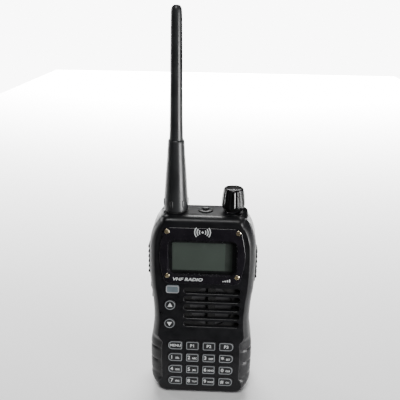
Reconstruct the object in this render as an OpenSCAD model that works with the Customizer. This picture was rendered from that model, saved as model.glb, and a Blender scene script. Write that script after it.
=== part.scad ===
// Handheld radio transceiver: clam-shell case with keypad, display, speaker, battery pack,
// belt clip, volume knob and a screw-on whip antenna. Millimetres. +Z up, the front faces -Y,
// and the origin is the middle of the base, half-way through the depth of radio and battery.

/* [Case] */
// Height of the case, base to top deck
body_h = 107; // [105:0.5:110]
// Depth of radio and battery pack together
body_d = 33; // [32.5:0.1:33.5]
// Thickness of the case walls
wall = 2; // [1.8:0.1:2.1]
// Radius of the two bottom corners
base_r = 10; // [9:0.5:11]
// Depth of the battery pack
pack_d = 11.2; // [11:0.1:11.4]

/* [Front panel] */
// Width of the glossy display plate at its widest
plate_w = 45.6; // [45:0.1:46]
// Width of the display window
window_w = 35.4; // [34:0.1:35.6]
// Height of the display window
window_h = 19; // [18:0.1:19.2]
// Distance between the rows of keys
key_pitch = 7.61; // [7.5:0.01:7.7]
// How far the front keys travel
key_travel = 0.6; // [0.4:0.1:0.6]
// Distance between the speaker slots
slot_pitch = 5.05; // [4.9:0.05:5.1]

/* [Antenna] */
// Height of the antenna above the deck
antenna_h = 104.5; // [90:0.5:120]
// Radius of the antenna at its foot
antenna_r = 6.45; // [6:0.05:6.5]
// Sideways place of the antenna
antenna_x = -14.8; // [-15:0.1:-14.6]

/* [Knob] */
// Largest diameter of the volume knob
knob_d = 12.4; // [12:0.1:12.6]
// Sideways place of the volume knob
knob_x = 15.6; // [15.4:0.1:15.8]

/* [Hidden] */
$fn = 48;
eps = 0.01;
gap = 0.15;

// Planes across the depth, front to back
y_face = -body_d / 2;
y_front = y_face + 0.5;
y_wall = y_front + 2.2;
key_flange_y = y_wall + 1;
y_board = -8;
board_t = 1.4;
y_back = body_d / 2 - pack_d;
y_split = y_back - 2;
y_pack = body_d / 2;
y_top = -4.5;

// Half-width of the case against height: grips, waist, side pads and shoulder
SIDE = [[base_r, 28.3], [22, 28.5], [31, 28.3], [38, 27.2], [47, 26.5], [57, 27.0], [66, 28.1],
        [78, 28.7], [90, 28.5], [96, 27.5], [100.5, 25.8], [104, 23.6], [body_h, 21.5]];
LAST = len(SIDE) - 1;

// Smooth curve through the side points
function curve(a, b, c, d, t) =
    0.5 * (2 * b + (c - a) * t + (2 * a - 5 * b + 4 * c - d) * t * t + (3 * b - a - 3 * c + d) * t * t * t);
function side_at(i, t) =
    curve(SIDE[max(i - 1, 0)], SIDE[i], SIDE[i + 1], SIDE[min(i + 2, LAST)], t);
function right_side(inset) = [
    for (a = [-90:15:-15]) [SIDE[0][1] - base_r + (base_r - inset) * cos(a), base_r + (base_r - inset) * sin(a)],
    for (i = [0:LAST - 1], t = [0:0.34:0.99]) [side_at(i, t)[1] - inset, side_at(i, t)[0]],
    [SIDE[LAST][1] - inset, body_h]];
function half_width(z) = lookup(z, SIDE);

// Keys: name, sideways place, height, width, depth of the cap, left and right corner radii
COLUMNS = [-14.22, -4.6, 4.6, 14.22];
ROWS = [for (r = [0:3]) 31.1 - r * key_pitch];
KEY_NAMES = [["key_menu", "key_p1", "key_p2", "key_p3"], ["key_1", "key_2", "key_3", "key_star"],
             ["key_4", "key_5", "key_6", "key_0"], ["key_7", "key_8", "key_9", "key_hash"]];
KEYS = concat(
    [for (r = [0:3], c = [0:3]) [KEY_NAMES[r][c], COLUMNS[c], ROWS[r],
        c == 0 || c == 3 ? 8 : 7.2, 5.3, c == 0 ? 2.3 : 0.9, c == 3 ? 2.3 : 0.9]],
    [["key_function", -15.75, 65.7, 7.1, 4.6, 1.2, 1.2],
     ["key_up", -17.1, 56.1, 6, 6, 2.99, 2.99],
     ["key_down", -17.4, 44.8, 6, 6, 2.99, 2.99]]);

// Side keys: name, height
SIDE_KEYS = [["side_key_upper", 64], ["side_key_lower", 58]];

// Screws
PLATE_SCREWS = [for (x = [-18.65, 18.65], z = [73.8, 99.1]) [x, z]];
BOARD_SCREWS = [[-9, 38.8], [8, 38.8], [-6, 99.5], [6, 99.5]];
CASE_SCREWS = [[-22.5, 6.2], [22.5, 6.2], [-22.8, 96.6], [22.8, 96.6]];
CLIP_SCREWS = [[-6.5, 98.5], [6.5, 98.5]];

// Speaker, slots and microphone
speaker_at = [5.5, 54.9];
slot_w = 31;
slot_h = 3.9;
mic_at = [-22.2, 50.9];

// Side openings, as height ranges and a depth range
PTT_Z = [69.8, 91.2];
PTT_Y = [-9.5, 0.3];
ptt_pivot = [-26.0, 89.4];
COVER_Z = [68.6, 88];
COVER_Y = [-9, 1.5];
cover_pivot = [27.4, 88];
JACKS = [[-4.2, 82.5, 1.75], [-4.2, 73.5, 1.25]];

// Battery pack, its hooks and its latch
pack_z = [2.6, 90];
pack_inset = 1;
tray_y = y_back + 0.1;
cover_y = 9;
HOOKS = [for (x = [-20.5, 20.5], z = [22, 70]) [x, z]];
pack_travel = 6;
latch_w = 14;
latch_y = 2.4;
latch_travel = 1.8;
CONTACTS = [-6, 0, 6];
contact_z = 84;

// Belt clip
clip_w = 16;
clip_pivot = [21, 94.6];

// ---- Helpers -----------------------------------------------------------------------------

// Outline of the case seen from the front, taken in by inset all round
module outline(inset = 0) {
    half = right_side(inset);
    intersection() {
        polygon(concat(half, [for (i = [len(half) - 1:-1:0]) [-half[i][0], half[i][1]]]));
        translate([-40, inset]) square([80, body_h - 2 * inset]);
    }
}

// A flat shape drawn in X and Z, made solid between two depths
module slab(y0, y1) {
    translate([0, y1, 0]) rotate([90, 0, 0]) linear_extrude(y1 - y0) children();
}

// A flat shape drawn in Y and Z, made solid between two sideways places
module across(x0, x1) {
    translate([x0, 0, 0]) rotate([90, 0, 90]) linear_extrude(x1 - x0) children();
}

module rod_y(at, r, y0, y1) {
    slab(y0, y1) translate(at) circle(r);
}

module block(low, high) {
    translate(low) cube(high - low);
}

// Rounded rectangle about its middle, with its own radii on the left and on the right
module rounded(w, h, left, right) {
    translate([left - w / 2, -h / 2]) square([w - left - right, h]);
    for (s = [[-1, left], [1, right]]) {
        translate([s[0] * (w / 2 - s[1] / 2), 0]) square([s[1], h - 2 * s[1]], center = true);
        for (v = [-1, 1]) translate([s[0] * (w / 2 - s[1]), v * (h / 2 - s[1])]) circle(s[1]);
    }
}

// Outline of the display plate: barrel-sided with rounded corners
module plate_outline(grow = 0) {
    r = 4;
    z0 = 69.2 - grow;
    z1 = 101.5 + grow;
    mid = plate_w / 2 + grow;
    end = mid - 1.9;
    half = [
        for (a = [-90:15:-15]) [end - r + r * cos(a), z0 + r + r * sin(a)],
        for (t = [0:0.1:1]) [end + 1.9 * sin(180 * t), z0 + r + t * (z1 - z0 - 2 * r)],
        for (a = [15:15:90]) [end - r + r * cos(a), z1 - r + r * sin(a)]];
    polygon(concat(half, [for (i = [len(half) - 1:-1:0]) [-half[i][0], half[i][1]]]));
}

module screw(at, head_r, head_y0, head_y1, shank_r, y_end) {
    rod_y(at, head_r, head_y0, head_y1);
    rod_y(at, shank_r, min(head_y1, y_end), max(head_y0, y_end));
}

// ---- Case --------------------------------------------------------------------------------

module key_holes(grow) {
    for (k = KEYS) translate([k[1], k[2]]) rounded(k[3] + 2 * grow, k[4] + 2 * grow, k[5], k[6]);
}

module speaker_slots() {
    for (i = [-2:2]) translate([speaker_at[0], speaker_at[1] + i * slot_pitch])
        rounded(slot_w, slot_h, slot_h / 2 - eps, slot_h / 2 - eps);
}

module knob_guard() {
    intersection() {
        difference() {
            translate([knob_x, y_top, body_h - 3]) cylinder(h = 5.2, r = 9.4);
            translate([knob_x, y_top, body_h]) cylinder(h = 9, r = 6.9);
        }
        translate([knob_x + 4.4, y_top - 4.7, body_h - 3]) cube([3.6, 9.4, 6]);
    }
}

module latch_slot() {
    block([-latch_w / 2 - 0.2, latch_y - latch_travel - 0.2, -1], [latch_w / 2 + 0.2, y_back + 1, 2.5]);
}

module grip_grooves() {
    for (s = [-1, 1], z = [11.8, 20, 28.2]) rod_y([s * 29, z], 0.9, y_front - 1, y_split + 1);
}

module front_housing() {
    color("#17171a") difference() {
        union() {
            difference() {
                union() {
                    slab(y_front, y_front + 0.8) outline(1.8);
                    slab(y_front + 0.8, y_front + 2.2) outline(0.6);
                    slab(y_front + 2.2, y_split) outline();
                }
                slab(y_wall, y_split + 1) outline(wall);
            }
            for (p = PLATE_SCREWS) rod_y(p, 1.6, y_wall - eps, y_wall + 1.8);
            for (p = CASE_SCREWS) rod_y(p, 2.2, y_wall - eps, y_split - 3);
            for (y = [PTT_Y[0] - 1.9, PTT_Y[1] + 0.4]) block([-27.4, y, 87.6], [-24.6, y + 1.5, 91]);
            for (y = [COVER_Y[0] - 1.8, COVER_Y[1] + 0.3]) block([25.6, y, 86.5], [27.8, y + 1.5, 89.6]);
            knob_guard();
        }
        slab(y_front - 1, y_front + 0.8) plate_outline(0.1);
        slab(y_front, y_wall + 1) translate([0, 84.5]) rounded(window_w + 1.4, window_h + 1.4, 1.5, 1.5);
        slab(y_front - 1, y_wall + 1) key_holes(gap);
        slab(y_front - 1, y_wall + 1) speaker_slots();
        rod_y(mic_at, 0.5, y_front - 1, y_wall + 1);
        for (p = PLATE_SCREWS) rod_y(p, 0.7, y_front, y_wall + 1.4);
        for (p = CASE_SCREWS) rod_y(p, 1, y_wall + 1, y_split);
        // side openings
        block([-31, PTT_Y[0] - 0.3, PTT_Z[0] - 0.3], [-24.9, PTT_Y[1] + 0.3, PTT_Z[1] + 0.3]);
        for (k = SIDE_KEYS) block([-31, -8.15, k[1] - 1.95], [-24, -0.85, k[1] + 1.95]);
        block([25.4, COVER_Y[0] - 0.2, COVER_Z[0] - 0.2], [31, COVER_Y[1] + 0.2, 90]);
        rod_y(cover_pivot, 0.65, COVER_Y[0] - 0.8, COVER_Y[1] + 0.8);
        rod_y(ptt_pivot, 0.75, PTT_Y[0] - 1.5, PTT_Y[1] + 1.5);
        // deck holes
        translate([antenna_x, y_top, body_h - 3]) cylinder(h = 4, r = 3.15);
        translate([knob_x, y_top, body_h - 3]) cylinder(h = 4, r = 3.55);
        translate([1, y_top, body_h - 3]) cylinder(h = 4, r = 2);
        // latch slot, grip grooves and the seat of the seal
        latch_slot();
        grip_grooves();
        slab(y_split - 0.4, y_split + 1) difference() {
            outline(0.7);
            outline(1.4);
        }
    }
}

module case_seal() {
    color("#2a2a2c") difference() {
        slab(y_split - 0.4, y_split) difference() {
            outline(0.7);
            outline(1.4);
        }
        latch_slot();
        grip_grooves();
    }
}

module rear_chassis() {
    color("#2b2c2f") difference() {
        union() {
            slab(y_split, y_split + 1) outline();
            slab(y_split + 1, y_back) outline(0.8);
            slab(y_split - 3, y_split) difference() {
                outline(wall + 0.1);
                outline(wall + 1.3);
            }
            for (p = BOARD_SCREWS) rod_y(p, 2, y_board, y_split + eps);
            for (p = CASE_SCREWS) rod_y(p, 2.3, y_split - 3, y_split + eps);
            for (p = HOOKS) {
                block([p[0] - 1, y_back - eps, p[1] - 2], [p[0] + 1, y_back + 1.3, p[1] + 2]);
                block([p[0] - 2, y_back + 1.2, p[1] - 2], [p[0] + 2, y_back + 2.3, p[1] + 2]);
            }
        }
        for (p = CASE_SCREWS) {
            rod_y(p, 1, y_split - 4, y_back + 1);
            rod_y(p, 1.9, y_back - 1.3, y_back + 1);
        }
        for (p = BOARD_SCREWS) rod_y(p, 0.8, y_board - 1, y_board + 4);
        for (p = CLIP_SCREWS) rod_y(p, 1.2, y_split - 2, y_back + 1);
        for (x = CONTACTS) block([x - 1, y_split - 1, contact_z - 2], [x + 1, y_back + 1, contact_z + 2]);
        latch_slot();
        block([25.4, -1, 66], [31, y_split, 91]);
        block([-31, -1, 54], [-21, y_split, 92]);
        block([-19.6, -1, 99], [21, y_split, 106]);
    }
}

module case_screws() {
    color("silver") for (p = CASE_SCREWS) screw(p, 1.9, y_back - 1.3, y_back - 0.2, 1, y_wall + 1);
}

// ---- Display -----------------------------------------------------------------------------

module face_plate() {
    color("#26242a") difference() {
        slab(y_face, y_front + 0.8) plate_outline();
        slab(y_face - 1, y_front + 1) translate([0, 84.5]) rounded(window_w, window_h, 2.2, 2.2);
        for (p = PLATE_SCREWS) {
            rod_y(p, 1.4, y_face - 1, y_face + 0.7);
            rod_y(p, 0.7, y_face, y_front + 1);
        }
    }
}

module plate_screws() {
    color("#d8cfb4") for (p = PLATE_SCREWS) difference() {
        union() {
            rod_y(p, 1.2, y_face - 0.15, y_face);
            screw(p, 1.4, y_face, y_face + 0.7, 0.7, y_wall + 1.4);
        }
        for (a = [45, 135]) slab(y_face - 1, y_face + 0.4)
            translate(p) rotate(a) square([1.5, 0.35], center = true);
    }
}

module display_window() {
    color("#5a625c", 0.4) slab(y_front + 0.8, y_wall)
        translate([0, 84.5]) rounded(window_w + 1.2, window_h + 1.2, 1.4, 1.4);
}

module display_module() {
    color("#46504a") block([-17.3, y_wall, 75.2], [17.3, y_wall + 1.8, 94.6]);
}

module display_holder() {
    color("#d8d8d4") difference() {
        block([-18.3, y_wall + 1.8, 74.2], [18.3, y_board - board_t, 95.6]);
        block([-14, y_wall + 3.2, 77], [14, y_board, 93]);
    }
}

// ---- Sound and keys ----------------------------------------------------------------------

module speaker() {
    front = -y_wall - 0.5;
    back = -y_board + board_t + 0.1;
    color("#3a3a3c") translate([speaker_at[0], 0, speaker_at[1]]) rotate([90, 0, 0]) rotate_extrude()
        polygon([[0, front - 0.6], [8, front - 0.6], [11.6, front - 0.2], [13.2, front], [13.2, front - 0.9],
                 [9, front - 2.4], [9, back], [0, back]]);
}

module microphone() {
    color("silver") rod_y([mic_at[0] + 0.2, mic_at[1]], 1.9, y_wall, y_wall + 1.6);
}

module keypad_mat() {
    y_sheet = y_board - board_t - 2;
    color("#4a4a4c") union() {
        slab(y_sheet, y_board - board_t) translate([0, 19.6]) rounded(39.2, 31.6, 1.5, 1.5);
        slab(y_sheet, y_board - board_t) translate([-15.6, 52.8]) rounded(8, 35.2, 1.2, 1.2);
        for (k = KEYS) rod_y([max(k[1], -15.6), k[2]], 1.8, key_flange_y + key_travel + 0.1, y_sheet + eps);
    }
}

module keypad_key(k) {
    grey = k[0] == "key_function" ? "#7d8b8f" : "#1a1a1d";
    color(grey) union() {
        slab(y_face, y_wall + 0.2 + eps) translate([k[1], k[2]]) rounded(k[3], k[4], k[5], k[6]);
        slab(y_wall + 0.2, key_flange_y) translate([k[1], k[2]]) rounded(k[3] + 1, k[4] + 1, k[5], k[6]);
    }
}

// ---- Boards and connectors ---------------------------------------------------------------

module main_board() {
    color("#1f5a3c") difference() {
        slab(y_board - board_t, y_board) translate([0, 53.5]) rounded(39.4, 99, 1.5, 1.5);
        for (p = BOARD_SCREWS) rod_y(p, 1, y_board - 3, y_board + 1);
    }
}

module board_screws() {
    color("silver") for (p = BOARD_SCREWS) {
        rod_y(p, 1.6, y_board - board_t - 0.9, y_board - board_t);
        rod_y(p, 1, y_board - board_t - eps, y_board);
        rod_y(p, 0.8, y_board - eps, y_board + 4);
    }
}

module shield_cans() {
    color("#b8bcc0") for (b = [[[-17, 8], [17, 35.5]], [[-17, 44], [11, 92]]])
        difference() {
            block([b[0][0], y_board, b[0][1]], [b[1][0], y_board + 3.4, b[1][1]]);
            block([b[0][0] + 0.3, y_board - 1, b[0][1] + 0.3], [b[1][0] - 0.3, y_board + 3.1, b[1][1] - 0.3]);
        }
}

module audio_jack_block() {
    color("#222224") difference() {
        block([13.5, y_board, 69.6], [25.2, -0.4, 86.4]);
        for (j = JACKS) translate([14.5, j[0], j[1]]) rotate([0, 90, 0]) cylinder(h = 12, r = j[2]);
    }
}

module volume_control() {
    color("#8a8c90") difference() {
        union() {
            block([knob_x - 4.2, y_board, 98.5], [knob_x + 4.2, 0.2, body_h - 2]);
            translate([knob_x, y_top, body_h - 2 - eps]) cylinder(h = 4.6, r = 3.5);
        }
        translate([knob_x, y_top, 99.5]) cylinder(h = 20, r = 3.05);
    }
}

module antenna_jack() {
    color("#c9a74c") difference() {
        union() {
            block([antenna_x - 4.4, y_board, 102.6], [antenna_x + 4.4, -1, body_h - 2]);
            translate([antenna_x, y_top, body_h - 2 - eps]) cylinder(h = 7.5, r = 3.1);
        }
        translate([antenna_x, y_top, body_h]) cylinder(h = 8, r = 0.6);
    }
}

module status_lamp() {
    color("#1b1a1c") translate([1, y_top, 0]) rotate_extrude()
        polygon([[0, body_h - 7], [1.95, body_h - 7], [1.95, body_h], [3.9, body_h], [3.9, body_h + 0.4],
                 [3.4, body_h + 0.8], [1.95, body_h + 0.8], [1.75, body_h + 1.3], [1.2, body_h + 1.8], [0, body_h + 2]]);
}

module side_switch_board() {
    color("#1f5a3c") block([-21.6, y_board, 55], [-20.6, 0.2, 84]);
}

module battery_terminals() {
    color("gold") for (x = CONTACTS)
        block([x - 1, y_split - 0.8, contact_z - 2], [x + 1, y_back + 0.05, contact_z + 2]);
}

// ---- Side controls -----------------------------------------------------------------------

module ptt_pin() {
    color("silver") rod_y(ptt_pivot, 0.75, PTT_Y[0] - 1.5, PTT_Y[1] + 1.5);
}

module ptt_button() {
    color("#1c1c1f") difference() {
        union() {
            slab(PTT_Y[0], PTT_Y[1]) polygon([[-28.5, PTT_Z[0]], [-28.9, 75], [-29.1, 81], [-28.9, 87],
                [-28.2, PTT_Z[1]], [-25.4, PTT_Z[1]], [-25.4, PTT_Z[0]]]);
            for (i = [0:5]) rod_y([-28.7, 72.6 + i * 2.9], 0.9, PTT_Y[0] + 0.8, PTT_Y[1] - 0.8);
            rod_y(ptt_pivot, 1.6, PTT_Y[0], PTT_Y[1]);
            block([-26, PTT_Y[0] + 1, PTT_Z[0] - 1.2], [-25.4, PTT_Y[1] - 1, PTT_Z[0] + 1]);
        }
        rod_y(ptt_pivot, 0.8, PTT_Y[0] - 1, PTT_Y[1] + 1);
    }
}

module side_key(k) {
    out = half_width(k[1]) + 0.6;
    color("#1c1c1f") union() {
        across(-out, -23.4) translate([y_top, k[1]]) rounded(7, 3.6, 1, 1);
        across(-out + 2.9, -23.6) translate([y_top, k[1]]) rounded(8.4, 4.8, 1, 1);
    }
}

module jack_cover() {
    color("#1c1c1f") union() {
        slab(COVER_Y[0], COVER_Y[1]) polygon([[27.2, COVER_Z[0]], [28.6, COVER_Z[0]], [28.9, 74], [29.1, 81],
            [28.9, 87], [28.8, 88], [27.2, 88]]);
        for (i = [0:5]) rod_y([28.8, 71 + i * 2.9], 0.8, COVER_Y[0] + 0.8, COVER_Y[1] - 0.8);
        rod_y(cover_pivot, 1.1, COVER_Y[0], COVER_Y[1]);
        rod_y(cover_pivot, 0.6, COVER_Y[0] - 0.7, COVER_Y[1] + 0.7);
        for (j = JACKS) translate([25.6, j[0], j[1]]) rotate([0, 90, 0]) cylinder(h = 1.7, r = j[2] + 0.6);
    }
}

// ---- Knob and antenna --------------------------------------------------------------------

module volume_knob() {
    z0 = body_h + 0.9;
    color("#18181a") difference() {
        translate([knob_x, y_top, z0]) rotate_extrude()
            polygon([[0, 0], [5.5, 0], [knob_d / 2 - 0.2, 1.6], [knob_d / 2, 2.8], [knob_d / 2 - 0.3, 6],
                     [5.3, 11.2], [4.6, 12.1], [3, 12.5], [0, 12.6]]);
        for (a = [0:30:330]) translate([knob_x, y_top, z0 + 2.4]) rotate(a)
            translate([knob_d / 2 + 0.5, 0, 0]) cylinder(h = 7.6, r = 1);
        translate([knob_x, y_top, z0 - 1]) cylinder(h = 3.4, r = 4.9);
        translate([knob_x, y_top, z0]) cylinder(h = 9.5, r = 3);
    }
}

module control_shaft() {
    color("silver") translate([knob_x, y_top, 100]) cylinder(h = body_h + 10.4 - 100, r = 3);
}

z_boot = body_h + 0.5;
z_seam = body_h + 38.5;
z_tip = body_h + antenna_h;

module antenna_boot() {
    color("#202123") difference() {
        union() {
            translate([antenna_x, y_top, 0]) rotate_extrude()
                polygon([[0, z_boot], [antenna_r, z_boot], [antenna_r, z_boot + 3], [antenna_r - 0.25, z_boot + 7],
                         [antenna_r - 0.7, z_boot + 14], [5.3, z_boot + 21], [4.7, z_boot + 30],
                         [4.25, z_seam - 0.4], [4, z_seam], [0, z_seam]]);
            for (a = [12:60:360]) translate([antenna_x, y_top, z_boot + 2.4]) rotate(a)
                translate([antenna_r - 0.55, -0.85, 0]) cube([0.8, 1.7, 3.9]);
        }
        translate([antenna_x, y_top, z_boot - 1]) cylinder(h = 9.5, r = 4.6);
    }
}

module antenna_whip() {
    color("#202123") translate([antenna_x, y_top, 0]) rotate_extrude()
        polygon([[0, z_seam], [3.6, z_seam], [3.3, z_seam + 10], [3.15, z_seam + 30], [2.85, z_tip - 6],
                 [2.7, z_tip - 2.2], [2.1, z_tip - 0.8], [1.1, z_tip - 0.15], [0, z_tip]]);
}

module antenna_plug() {
    color("#c9a74c") translate([antenna_x, y_top, 0]) rotate_extrude()
        polygon([[0, z_boot + 0.8], [0.5, z_boot + 0.8], [0.5, z_boot + 5.6], [3.15, z_boot + 5.6],
                 [3.15, z_boot + 0.2], [4.6, z_boot + 0.2], [4.6, z_boot + 8.5], [0, z_boot + 8.5]]);
}

// ---- Battery -----------------------------------------------------------------------------

module pack_outline(inset) {
    intersection() {
        outline(pack_inset + inset);
        translate([-40, pack_z[0] + inset]) square([80, pack_z[1] - pack_z[0] - 2 * inset]);
    }
}

module battery_tray() {
    color("#1b1b1e") difference() {
        slab(tray_y, cover_y) pack_outline(0);
        for (p = HOOKS) {
            z0 = p[1] - 2.3;
            z1 = p[1] + 2 + pack_travel + 0.3;
            block([p[0] - 1.3, tray_y - 1, z0], [p[0] + 1.3, tray_y + 1.2, z1]);
            block([p[0] - 2.3, tray_y + 0.9, z0], [p[0] + 2.3, tray_y + 2.5, z1]);
            block([p[0] - 2.3, tray_y - 1, p[1] + 3.7], [p[0] + 2.3, tray_y + 1, z1]);
        }
        for (x = CONTACTS)
            block([x - 1.5, tray_y - 1, contact_z - 2.5], [x + 1.5, tray_y + 0.3, contact_z + 2.5]);
    }
}

module battery_cover() {
    color("#1b1b1e") difference() {
        union() {
            slab(cover_y, y_pack - 1.6) pack_outline(0);
            slab(y_pack - 1.6, y_pack - 0.6) pack_outline(0.6);
            slab(y_pack - 0.6, y_pack) pack_outline(1.8);
        }
        slab(cover_y - 1, y_pack - 1.2) pack_outline(1.4);
    }
}

module battery_cells() {
    color("#3c6ea5") for (s = [-1, 1])
        slab(cover_y, y_pack - 1.4) translate([s * 11.9, 46.5]) rounded(22.4, 76, 2.5, 2.5);
}

module battery_contacts() {
    color("gold") for (x = CONTACTS)
        block([x - 1.5, tray_y, contact_z - 2.5], [x + 1.5, tray_y + 0.3, contact_z + 2.5]);
}

module battery_latch() {
    z0 = 0.1;
    z1 = 2.3;
    color("#222225") difference() {
        across(-latch_w / 2, latch_w / 2) polygon([[latch_y, z0], [latch_y, z1], [y_back, z1], [y_back + 0.7, z0]]);
        for (i = [1:3]) translate([-10, latch_y + 0.9 * i, z0]) rotate([0, 90, 0]) cylinder(h = 20, r = 0.35);
    }
}

// ---- Belt clip ---------------------------------------------------------------------------

module clip_base() {
    color("#1e1e21") difference() {
        union() {
            slab(y_back, y_back + 4) translate([0, 97.5]) rounded(22, 11.4, 2, 2);
            for (s = [-1, 1]) difference() {
                across(s * 10 - 1.2, s * 10 + 1.2) union() {
                    translate([y_back + 3, clip_pivot[1] - 3]) square([clip_pivot[0] - y_back - 3, 7.6]);
                    translate([clip_pivot[0], clip_pivot[1]]) circle(3);
                }
            }
        }
        for (p = CLIP_SCREWS) rod_y(p, 1.2, y_back - 1, y_back + 6);
        translate([-20, clip_pivot[0], clip_pivot[1]]) rotate([0, 90, 0]) cylinder(h = 40, r = 1);
    }
}

module belt_clip() {
    color("#1e1e21") difference() {
        union() {
            across(-clip_w / 2, clip_w / 2) polygon([[20.2, 99.2], [22.4, 99.6], [23.4, 95], [23.2, 90],
                [23.4, 60], [22.2, 52], [19.4, 46.6], [17.2, 46], [16.9, 47.6], [18.8, 49],
                [20.8, 54], [21.2, 60], [21.2, 90], [20.8, 95]]);
            for (s = [-1, 1]) translate([s * 6.6 - 1.4, clip_pivot[0], clip_pivot[1]]) rotate([0, 90, 0])
                cylinder(h = 2.8, r = 2.4);
        }
        translate([-5.2, 18, clip_pivot[1] - 3.5]) cube([10.4, 4.4, 7]);
        translate([-20, clip_pivot[0], clip_pivot[1]]) rotate([0, 90, 0]) cylinder(h = 40, r = 1.05);
    }
}

module clip_pin() {
    color("silver") translate([-11.2, clip_pivot[0], clip_pivot[1]]) rotate([0, 90, 0]) cylinder(h = 22.4, r = 1);
}

module clip_spring() {
    color("silver") translate([-4.6, clip_pivot[0], clip_pivot[1]]) rotate([0, 90, 0]) difference() {
        cylinder(h = 9.2, r = 1.35);
        translate([0, 0, -1]) cylinder(h = 12, r = 1.1);
    }
}

module clip_screws() {
    color("silver") for (p = CLIP_SCREWS) screw(p, 2, y_back + 4, y_back + 5.2, 1.2, y_split - 1.5);
}

// ---- Nodes -------------------------------------------------------------------------------

front_housing();
case_seal();
rear_chassis();
case_screws();
face_plate();
plate_screws();
display_window();
display_module();
display_holder();
speaker();
microphone();
keypad_mat();
main_board();
board_screws();
shield_cans();
audio_jack_block();
volume_control();
antenna_jack();
status_lamp();
side_switch_board();
ptt_pin();
battery_terminals();
ptt_button();
jack_cover();
volume_knob();
control_shaft();
antenna_boot();
antenna_whip();
antenna_plug();
battery_tray();
battery_cover();
battery_cells();
battery_contacts();
battery_latch();
clip_base();
belt_clip();
clip_pin();
clip_spring();
clip_screws();
for (k = SIDE_KEYS) side_key(k);
for (k = KEYS) keypad_key(k);
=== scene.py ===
"""Looks of the handheld radio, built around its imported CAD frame."""

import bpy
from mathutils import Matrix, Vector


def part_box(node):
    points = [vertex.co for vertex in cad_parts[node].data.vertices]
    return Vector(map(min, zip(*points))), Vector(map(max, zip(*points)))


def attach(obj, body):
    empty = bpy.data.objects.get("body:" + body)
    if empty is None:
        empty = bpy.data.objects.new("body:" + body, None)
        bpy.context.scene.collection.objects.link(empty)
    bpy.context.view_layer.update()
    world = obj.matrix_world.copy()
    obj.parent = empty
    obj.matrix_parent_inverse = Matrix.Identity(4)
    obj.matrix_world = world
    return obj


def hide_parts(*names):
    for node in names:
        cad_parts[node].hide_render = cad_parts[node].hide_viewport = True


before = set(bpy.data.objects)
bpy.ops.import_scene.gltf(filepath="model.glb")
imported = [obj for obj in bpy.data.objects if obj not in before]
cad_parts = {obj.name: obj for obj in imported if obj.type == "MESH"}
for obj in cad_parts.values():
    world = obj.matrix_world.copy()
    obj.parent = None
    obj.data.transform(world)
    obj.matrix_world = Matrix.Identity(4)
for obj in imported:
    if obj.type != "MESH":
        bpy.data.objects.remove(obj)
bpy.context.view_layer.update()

import math

import bmesh
import bpy
from mathutils import Matrix, Vector

MM = 0.001
RADIO = "radio"

# ---- Places and sizes, millimetres, in the frame ------------------------------------------


def box_mm(node):
    low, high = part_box(node)
    return [v / MM for v in low], [v / MM for v in high]


(_, Y_FACE, PLATE_Z0), (plate_x1, PLATE_BACK, PLATE_Z1) = box_mm("face_plate")
(_, Y_FRONT, _), (_, Y_SPLIT, _) = box_mm("front_housing")
(_, Y_WALL, _), _ = box_mm("display_module")
_, (_, _, BODY_H) = box_mm("rear_chassis")
(_, _, PACK_Z0), (_, TRAY_Y1, PACK_Z1) = box_mm("battery_tray")
_, (_, PACK_Y1, _) = box_mm("battery_cover")
knob_low, knob_high = box_mm("volume_knob")
boot_low, boot_high = box_mm("antenna_boot")
whip_low, whip_high = box_mm("antenna_whip")
lamp_low, lamp_high = box_mm("status_lamp")


def middle(low, high, k):
    return (low[k] + high[k]) / 2


Y_TOP = middle(whip_low, whip_high, 1)
ANTENNA_X = middle(whip_low, whip_high, 0)
KNOB_X = middle(knob_low, knob_high, 0)
LAMP_X = middle(lamp_low, lamp_high, 0)

FLOOR_FRONT, FLOOR_BACK, FLOOR_HALF = -0.05, 1.5, 0.5  # metres
BASE_R = 10
SIDE = [(BASE_R, 28.3), (22, 28.5), (31, 28.3), (38, 27.2), (47, 26.5), (57, 27.0), (66, 28.1),
        (78, 28.7), (90, 28.5), (96, 27.5), (100.5, 25.8), (104, 23.6), (BODY_H, 21.5)]
GROOVES = (11.8, 20, 28.2)
CORNER_FROM = 102.4  # height where the top corners start to round
EDGE_STEP = (0.3, 0.45)  # width and depth of the step between keypad panel and grips
WINDOW = (35.4, 19, 84.5)
PLATE_SCREWS = [(x, z) for x in (-18.65, 18.65) for z in (73.8, 99.1)]
SPEAKER = (5.5, 54.9)
SLOT = (31, 3.9, 5.05)
MIC = (-22.2, 50.9)
KEY_GAP = 0.15
PRINT_DEPTH = 0.035
COLUMNS = (-14.22, -4.6, 4.6, 14.22)
ROW_0, ROW_PITCH = 31.1, 7.61
KEY_ROWS = (("menu", "p1", "p2", "p3"), ("1", "2", "3", "star"), ("4", "5", "6", "0"),
            ("7", "8", "9", "hash"))
LEGENDS = {"menu": ("MENU", ""), "p1": ("P1", ""), "p2": ("P2", ""), "p3": ("P3", ""),
           "1": ("1", "SEL"), "2": ("2", "ABC"), "3": ("3", "DEF"), "star": ("*", "SET"),
           "4": ("4", "GHI"), "5": ("5", "JKL"), "6": ("6", "MNO"), "0": ("0", "CLR"),
           "7": ("7", "PRS"), "8": ("8", "TUV"), "9": ("9", "WXY"), "hash": ("#", "OK")}
KEYS = [(name, COLUMNS[c], ROW_0 - r * ROW_PITCH, 8 if c in (0, 3) else 7.2, 5.3,
         2.3 if c == 0 else 0.9, 2.3 if c == 3 else 0.9)
        for r, row in enumerate(KEY_ROWS) for c, name in enumerate(row)]
KEYS += [("function", -15.75, 65.7, 7.1, 4.6, 1.2, 1.2), ("up", -17.1, 56.1, 6, 6, 2.99, 2.99),
         ("down", -17.4, 44.8, 6, 6, 2.99, 2.99)]

# ---- Materials ----------------------------------------------------------------------------


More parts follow.
